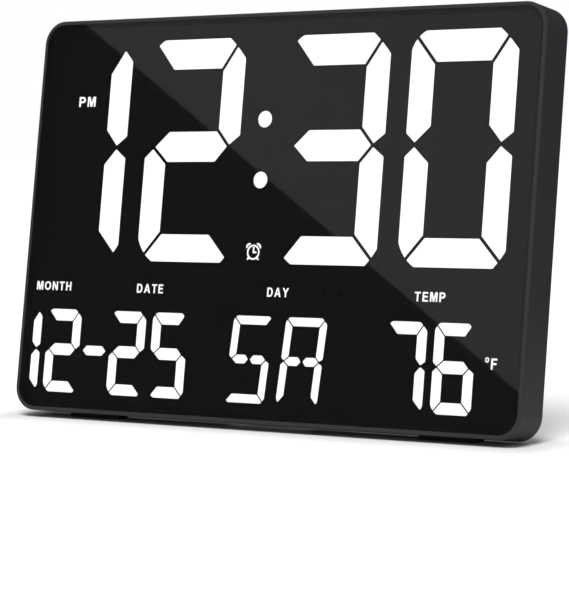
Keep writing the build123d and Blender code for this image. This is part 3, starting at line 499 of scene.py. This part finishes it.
window_names = ("degree", "month", "date", "day", "temp", "alarm", "half_day")
windows = dict(zip(window_names, plate_boxes("caption_plates"), strict=True))
for name, box in windows.items():
    print(name, "window (mm):", np.round(1000 * (box[2:] - box[:2]), 1))


# %% Letter outlines
def bow(middle, radii, start=90.0, end=-90.0, steps=17):
    """Points middle + radii * (cos a, sin a), with the angle a running from start to end in degrees."""
    angle = np.radians(np.linspace(start, end, steps))
    return list(zip(middle[0] + radii[0] * np.cos(angle), middle[1] + radii[1] * np.sin(angle)))


def oval(middle, radii):
    """The same points all the way round."""
    return bow(middle, radii, 0.0, 345.0, 24)


letters = {
    "A": [[(0, 0), (0.38, 1), (0.6, 1), (0.98, 0), (0.77, 0), (0.69, 0.22), (0.29, 0.22), (0.21, 0)],
          [(0.35, 0.38), (0.63, 0.38), (0.49, 0.77)]],
    "D": [[(0, 0), (0, 1), *bow((0.4, 0.5), (0.46, 0.5))],
          [(0.2, 0.17), (0.2, 0.83), *bow((0.38, 0.5), (0.27, 0.33))]],
    "E": [[(0, 0), (0, 1), (0.7, 1), (0.7, 0.83), (0.2, 0.83), (0.2, 0.6), (0.66, 0.6), (0.66, 0.43),
           (0.2, 0.43), (0.2, 0.17), (0.72, 0.17), (0.72, 0)]],
    "F": [[(0, 0), (0, 1), (0.68, 1), (0.68, 0.83), (0.2, 0.83), (0.2, 0.59), (0.61, 0.59),
           (0.61, 0.42), (0.2, 0.42), (0.2, 0)]],
    "H": [[(0, 0), (0, 1), (0.2, 1), (0.2, 0.6), (0.61, 0.6), (0.61, 1), (0.81, 1), (0.81, 0),
           (0.61, 0), (0.61, 0.42), (0.2, 0.42), (0.2, 0)]],
    "M": [[(0, 0), (0, 1), (0.29, 1), (0.48, 0.38), (0.67, 1), (0.96, 1), (0.96, 0), (0.78, 0),
           (0.78, 0.72), (0.56, 0), (0.4, 0), (0.18, 0.72), (0.18, 0)]],
    "N": [[(0, 0), (0, 1), (0.2, 1), (0.62, 0.33), (0.62, 1), (0.81, 1), (0.81, 0), (0.61, 0),
           (0.19, 0.67), (0.19, 0)]],
    "O": [oval((0.49, 0.5), (0.49, 0.5)), oval((0.49, 0.5), (0.285, 0.33))],
    "P": [[(0, 0), (0, 1), *bow((0.46, 0.69), (0.3, 0.31)), (0.2, 0.38), (0.2, 0)],
          [(0.2, 0.55), (0.2, 0.83), *bow((0.43, 0.69), (0.13, 0.14))]],
    "T": [[(0, 1), (0.78, 1), (0.78, 0.83), (0.49, 0.83), (0.49, 0), (0.29, 0), (0.29, 0.83),
           (0, 0.83)]],
    "Y": [[(0.37, 0), (0.37, 0.42), (0, 1), (0.23, 1), (0.47, 0.6), (0.71, 1), (0.94, 1), (0.57, 0.42),
           (0.57, 0)]],
    "°": [oval((0.23, 0.85), (0.23, 0.23)), oval((0.23, 0.85), (0.12, 0.12))],
}
print("letters:", " ".join(letters))


# %% Set the words
letter_gap, side_margin, end_margin, degree_margin = 0.27, 0.0016, 0.0014, 0.0008


def word_shape(text):
    """Points and faces of a flat word: its letters' outlines in a row, filled and given a thickness."""
    curve = bpy.data.curves.new("word", "CURVE")
    curve.dimensions, curve.fill_mode, curve.extrude = "2D", "BOTH", 0.5
    start = 0.0
    for outlines in (letters[letter] for letter in text):
        for outline in map(np.array, outlines):
            spline = curve.splines.new("POLY")
            spline.points.add(len(outline) - 1)
            flat = np.column_stack([outline[:, 0] + start, outline[:, 1], 0 * outline])
            spline.points.foreach_set("co", flat.ravel())
            spline.use_cyclic_u = True
        start += max(x for x, z in outlines[0]) + letter_gap
    holder = bpy.data.objects.new("word", curve)
    mesh = bpy.data.meshes.new_from_object(holder)
    flat = np.empty(3 * len(mesh.vertices))
    mesh.vertices.foreach_get("co", flat)
    faces = [list(face.vertices) for face in mesh.polygons]
    bpy.data.objects.remove(holder)
    bpy.data.meshes.remove(mesh)
    return flat.reshape(-1, 3), faces


def lit_word(window, text, margin):
    """A word that fills its window up to its margins: the word's box is stretched over it."""
    points, faces = word_shape(text)
    share = (points - points.min(0)) / np.ptp(points, axis=0)
    left, foot, right, head = windows[window]
    x = left + side_margin + share[:, 0] * (right - left - 2 * side_margin)
    z = foot + margin + share[:, 1] * (head - foot - 2 * margin)
    depth = film_back + share[:, 2] * (film_front - film_back)
    placed = on_face(x, z, depth)
    return finished_piece("word_" + window, placed, faces, "lit_diffuser")


captions = {"half_day": "PM", "month": "MONTH", "date": "DATE", "day": "DAY", "temp": "TEMP"}
words = [lit_word(window, text, end_margin) for window, text in captions.items()]
words.append(lit_word("degree", "°F", degree_margin))
print("words:", {word.name: len(word.data.polygons) for word in words})


# %% [markdown]
# ## Alarm sign
# The usual sign for an alarm: a ring with two hands, two bells and two feet. Each of its strokes is a
# small patch of the plane, worked out as a grid of points, and one function gives any such patch its
# thickness and its side walls.

# %% Patches with thickness
def thick_patch(grid, wrap=False):
    """Closed plate over grid[i, j] = (x, z) in mm: the grid at the film's two faces, and its walls."""
    rows, columns = grid.shape[:2]
    x, z = grid[..., 0].ravel() / 1000, grid[..., 1].ravel() / 1000
    points = np.concatenate([on_face(x, z, film_front), on_face(x, z, film_back)])
    index = np.arange(rows * columns).reshape(rows, columns)
    if wrap:
        index = np.concatenate([index, index[:1]])
    quads = np.stack([index[:-1, :-1], index[1:, :-1], index[1:, 1:], index[:-1, 1:]], -1)
    front = quads.reshape(-1, 4)
    edges = [index[:, 0], index[::-1, -1]]
    if not wrap:
        edges += [index[0, ::-1], index[-1]]
    back = rows * columns
    walls = [np.stack([edge[:-1], edge[1:], edge[1:] + back, edge[:-1] + back], -1) for edge in edges]
    return points, np.concatenate([front, front[:, ::-1] + back, *walls])


def ring_grid(outer, inner, steps=48):
    """Ring: angle along the rows, the two radii along the columns."""
    angle = np.linspace(0, 2 * math.pi, steps, endpoint=False)[:, None]
    radius = np.array([[outer, inner]])
    return np.stack([radius * np.cos(angle), radius * np.sin(angle)], -1)


def bell_grid(middle, spread, foot, rise, steps=17):
    """Bell: from an arc of radius foot up to foot + rise * sqrt(1 - t * t), t from -1 to 1."""
    t = np.sin(np.linspace(-math.pi / 2, math.pi / 2, steps))[:, None]
    angle = np.radians(middle + spread * t)
    radius = foot + rise * np.sqrt(1 - t * t) * np.array([[0.0, 0.5, 1.0]])
    return np.stack([radius * np.cos(angle), radius * np.sin(angle)], -1)


def bar_grid(start, end, half_width, steps=25):
    """Round-ended bar: half width h, falling to h * sqrt(1 - e * e) over the last h of each end."""
    start, end = np.array(start), np.array(end)
    length = np.linalg.norm(end - start)
    along = (end - start) / length
    across = np.array([-along[1], along[0]])
    s = length / 2 + (length / 2 + half_width) * np.sin(np.linspace(-math.pi / 2, math.pi / 2, steps))
    past = np.clip(np.maximum(-s, s - length) / half_width, 0, 1)
    half = half_width * np.sqrt(1 - past * past)
    side = half[:, None] * np.array([[-1.0, 0.0, 1.0]])
    return start + s[:, None, None] * along + side[..., None] * across


print("bar of 3 mm has", bar_grid((0, 0), (0, 3), 0.7).shape, "points")


# %% Make the alarm sign
def polar(radius, degrees):
    """The point at a radius and an angle: (radius * cos a, radius * sin a)."""
    return radius * np.array([math.cos(math.radians(degrees)), math.sin(math.radians(degrees))])


# All in mm and degrees, from the middle of the ring
sign_shift = np.array([0.45, -0.3])
sign_ring, sign_stroke = 4.8, 1.0
minute_hand, hour_hand = ((0.15, -0.1), (0.15, 2.9)), ((0.15, 0.0), (2.0, 0.0))
bell_spread, bell_gap, bell_rise = 22.0, 0.9, 1.35
foot_sunk, foot_end, foot_half_width = 0.2, 6.1, 0.5
bell_and_foot_angles = ((46, -48), (134, -132))
alarm_box = windows["alarm"]
sign_middle = 500 * (alarm_box[:2] + alarm_box[2:]) + sign_shift
strokes = [bar_grid(*hand, sign_stroke / 2) for hand in (minute_hand, hour_hand)]
for bell, foot in bell_and_foot_angles:
    strokes.append(bell_grid(bell, bell_spread, sign_ring + bell_gap, bell_rise))
    strokes.append(bar_grid(polar(sign_ring - foot_sunk, foot), polar(foot_end, foot), foot_half_width))
patches = [thick_patch(sign_middle + ring_grid(sign_ring, sign_ring - sign_stroke), wrap=True)]
patches += [thick_patch(sign_middle + stroke) for stroke in strokes]
counts = np.cumsum([0] + [len(points) for points, faces in patches])
alarm_sign = finished_piece(
    "alarm_sign", np.concatenate([points for points, faces in patches]),
    np.concatenate([faces + count for (points, faces), count in zip(patches, counts)]).tolist(),
    "lit_diffuser")
print("alarm sign:", len(alarm_sign.data.polygons), "faces")

# %% [markdown]
# ## Camera
# A long lens from the clock's right front, a little above the table. Where it stands was worked out
# from the outline of the case in the picture: with the real size of the case known, only one place,
# one direction and one focal length give that outline. The sensor's 36 mm lie along the longer,
# upright side of the frame. The clock fills the upper part of the frame with white below it: the
# picture was taken straight at the clock and the white added later, which is what a shift does.

# %% Place the camera
camera_place = Vector((0.938181, -1.348178, 0.210687))
camera_azimuth, camera_elevation, camera_roll = 34.685, 2.837, -1.334
camera_lens, camera_sensor, camera_shift = 155.137, 36.0, -0.13267


def camera_axes(azimuth, elevation, roll):
    """Columns right, up and back of a camera that looks from an azimuth and elevation in degrees."""
    a, e, r = (math.radians(angle) for angle in (azimuth, elevation, roll))
    back = Vector((math.sin(a) * math.cos(e), -math.cos(a) * math.cos(e), math.sin(e)))
    right = Vector((math.cos(a), math.sin(a), 0.0))
    up = back.cross(right)
    turned = (right * math.cos(r) + up * math.sin(r), up * math.cos(r) - right * math.sin(r), back)
    return Matrix(turned).transposed()


camera_data = bpy.data.cameras.new("camera")
camera_data.lens = camera_lens
camera_data.sensor_width = camera_sensor
camera_data.shift_y = camera_shift
camera = bpy.data.objects.new("camera", camera_data)
camera.matrix_world = Matrix.Translation(camera_place) @ camera_axes(
    camera_azimuth, camera_elevation, camera_roll).to_4x4()
bpy.context.scene.collection.objects.link(camera)
bpy.context.scene.camera = camera
face_middle = Vector(on_face(0.0, case_height / 2, 0.0))
print("camera is", round((camera_place - face_middle).length, 3), "m away")

# %% [markdown]
# ## Floor
# A wide white table. For the camera it also gives off a little light of its own, so that the lit floor
# is plain white without more light on the clock. That glow fades out towards the clock, which paints
# shade on the floor round the case: there the floor shows only the light that falls on it, and the
# shadow under the case stays as deep as it is.

# %% Rays that look at the studio
def seen_directly(tree):
    """Mask: 1 for rays from the camera, from mirrors and through glass, 0 for those that only light."""
    path = add_node(tree, "ShaderNodeLightPath")
    seen = path.outputs["Is Camera Ray"]
    for ray in ("Is Glossy Ray", "Is Transmission Ray"):
        larger = add_node(tree, "ShaderNodeMath", operation="MAXIMUM")
        tree.links.new(seen, larger.inputs[0])
        tree.links.new(path.outputs[ray], larger.inputs[1])
        seen = larger.outputs[0]
    return seen


print("mask for the studio ready")

# %% Make the floor
# painted shade: the floor's glow fades out over the last distance to the clock
floor_lift, floor_half, painted_shadow_reach = 0.25, 6.0, 0.035
floor_white = grey(0.9)
case_low = housing[housing[:, 2] < housing[:, 2].min() + case_depth]
footprint_low, footprint_high = case_low[:, :2].min(0), case_low[:, :2].max(0)


def floor_material():
    """White diffuse floor plus a weak glow for rays that look at it; the glow is left out near the
    clock, as painted shade round the case.
    """
    material = bpy.data.materials.new("white_table")
    material.use_nodes = True
    tree = material.node_tree
    tree.nodes.clear()
    link = tree.links.new
    middle, half = (footprint_high + footprint_low) / 2, (footprint_high - footprint_low) / 2
    lift = add_node(tree, "ShaderNodeMath", operation="MULTIPLY")
    amount = add_node(tree, "ShaderNodeMath", operation="MULTIPLY")
    amount.inputs[1].default_value = floor_lift
    matt = add_node(tree, "ShaderNodeBsdfDiffuse", inputs={"Color": floor_white})
    glow = add_node(tree, "ShaderNodeEmission")
    both = add_node(tree, "ShaderNodeAddShader")
    out = add_node(tree, "ShaderNodeOutputMaterial")
    link(seen_directly(tree), lift.inputs[0])
    place = add_node(tree, "ShaderNodeTexCoord").outputs["Object"]
    # painted shade: the glow falls to nothing next to the case's footprint
    link(clear_of(tree, place, (*middle, 0), (*half, 1), 0.0, painted_shadow_reach), lift.inputs[1])
    link(lift.outputs[0], amount.inputs[0])
    link(amount.outputs[0], glow.inputs["Strength"])
    link(matt.outputs[0], both.inputs[0])
    link(glow.outputs[0], both.inputs[1])
    link(both.outputs[0], out.inputs["Surface"])
    return material


def stage_plate(name, corners, material):
    """Flat card through corner points, part of the studio and not of the clock."""
    mesh = bpy.data.meshes.new(name)
    mesh.from_pydata([list(map(float, corner)) for corner in corners], [], [list(range(len(corners)))])
    mesh.materials.append(material)
    plate = bpy.data.objects.new(name, mesh)
    bpy.context.scene.collection.objects.link(plate)
    return plate


corner_signs = ((-1, -1), (1, -1), (1, 1), (-1, 1))
floor_corners = [(sx * floor_half, sy * floor_half, 0.0) for sx, sy in corner_signs]
floor = stage_plate("floor", floor_corners, floor_material())
print("floor:", 2 * floor_half, "m wide")

# %% [markdown]
# ## Light
# A white surrounding lights the clock softly from all sides, and one broad far lamp from the upper
# front gives the rim and the side different tones and throws the shadow behind the clock. A far lamp
# lights the floor evenly, near and far. The lens mirrors the white room in its upper right half.
# The lower left half is darker, with a straight edge: in a studio that is a black flag hung in front,
# out of the picture. Its edge is found by mirroring the camera in the lens and looking from there
# through the edge on the face to the flag. A second flag stands upright at the clock's right and keeps
# the white room out of the sheen on the side wall. Both are seen in reflections only and shade nothing.

# %% White room and lamp
room_light = 0.27
lamp_azimuth, lamp_elevation, lamp_breadth, lamp_strength = 22.0, 62.0, 30.0, 2.45


def white_room():
    """World that is white to look at (strength 1) and gives a softer light of its own."""
    world = bpy.data.worlds.new("white_room")
    world.use_nodes = True
    tree = world.node_tree
    strength = add_node(tree, "ShaderNodeMapRange", inputs={"To Min": room_light, "To Max": 1.0})
    background = tree.nodes["Background"]
    background.inputs["Color"].default_value = (1, 1, 1, 1)
    tree.links.new(seen_directly(tree), strength.inputs["Value"])
    tree.links.new(strength.outputs["Result"], background.inputs["Strength"])
    return world


bpy.context.scene.world = white_room()
lamp_data = bpy.data.lights.new("key_lamp", "SUN")
lamp_data.energy, lamp_data.angle = lamp_strength, math.radians(lamp_breadth)
lamp = bpy.data.objects.new("key_lamp", lamp_data)
lamp.matrix_world = camera_axes(lamp_azimuth, lamp_elevation, 0.0).to_4x4()
lamp.visible_glossy = False
bpy.context.scene.collection.objects.link(lamp)
lamp_on_face = float(np.array(lamp.matrix_world.col[2])[:3] @ face_out)
print("light on the face:", round(lamp_strength * lamp_on_face / math.pi + room_light, 2))

# %% Black flags
flag_distance, flag_overrun, flag_left, flag_low = 0.7, 0.4, -0.5, -0.3
glare_start, glare_end = np.array([-0.1585, 0.258]), np.array([0.1906, 0.0277])


def mirrored_on_card(x, z):
    """Where the mirrored camera, looking through the face point (x, z), meets a card in front of it."""
    viewer = np.array(camera_place)
    behind = viewer @ face_out - (rim_plane - lens_front)
    viewer = viewer - 2 * behind * face_out
    point = on_face(x, z, lens_front)
    return viewer + (point - viewer) * (behind + flag_distance) / behind


def flag_material():
    """Black felt: almost no light comes back from it."""
    return skin_material("black_felt", grey(0.001), grey(0.002), 0.9, 1.0, 400.0, 0.1, 0.0)


run = (glare_end - glare_start) * flag_overrun
upper, lower = glare_start - run, glare_end + run
flag_outline = [upper, lower, (lower[0], flag_low), (flag_left, flag_low), (flag_left, upper[1])]
felt = flag_material()
flag = stage_plate("flag", [mirrored_on_card(x, z) for x, z in flag_outline], felt)
side_near, side_far, side_head = (0.99, -0.25), (-0.33, 0.66), 1.0
side_corners = [(*side_near, 0.0), (*side_far, 0.0), (*side_far, side_head), (*side_near, side_head)]
side_flag = stage_plate("side_flag", side_corners, felt)
for card in (flag, side_flag):
    for ray in ("camera", "diffuse", "transmission", "volume_scatter", "shadow"):
        setattr(card, "visible_" + ray, False)
print("flag corners:", [tuple(round(c, 2) for c in vertex.co) for vertex in flag.data.vertices])

# %% [markdown]
# ## Finish
# Colours are shown as they are, with no film look.

# %% Picture settings
bpy.context.scene.view_settings.view_transform = "Standard"
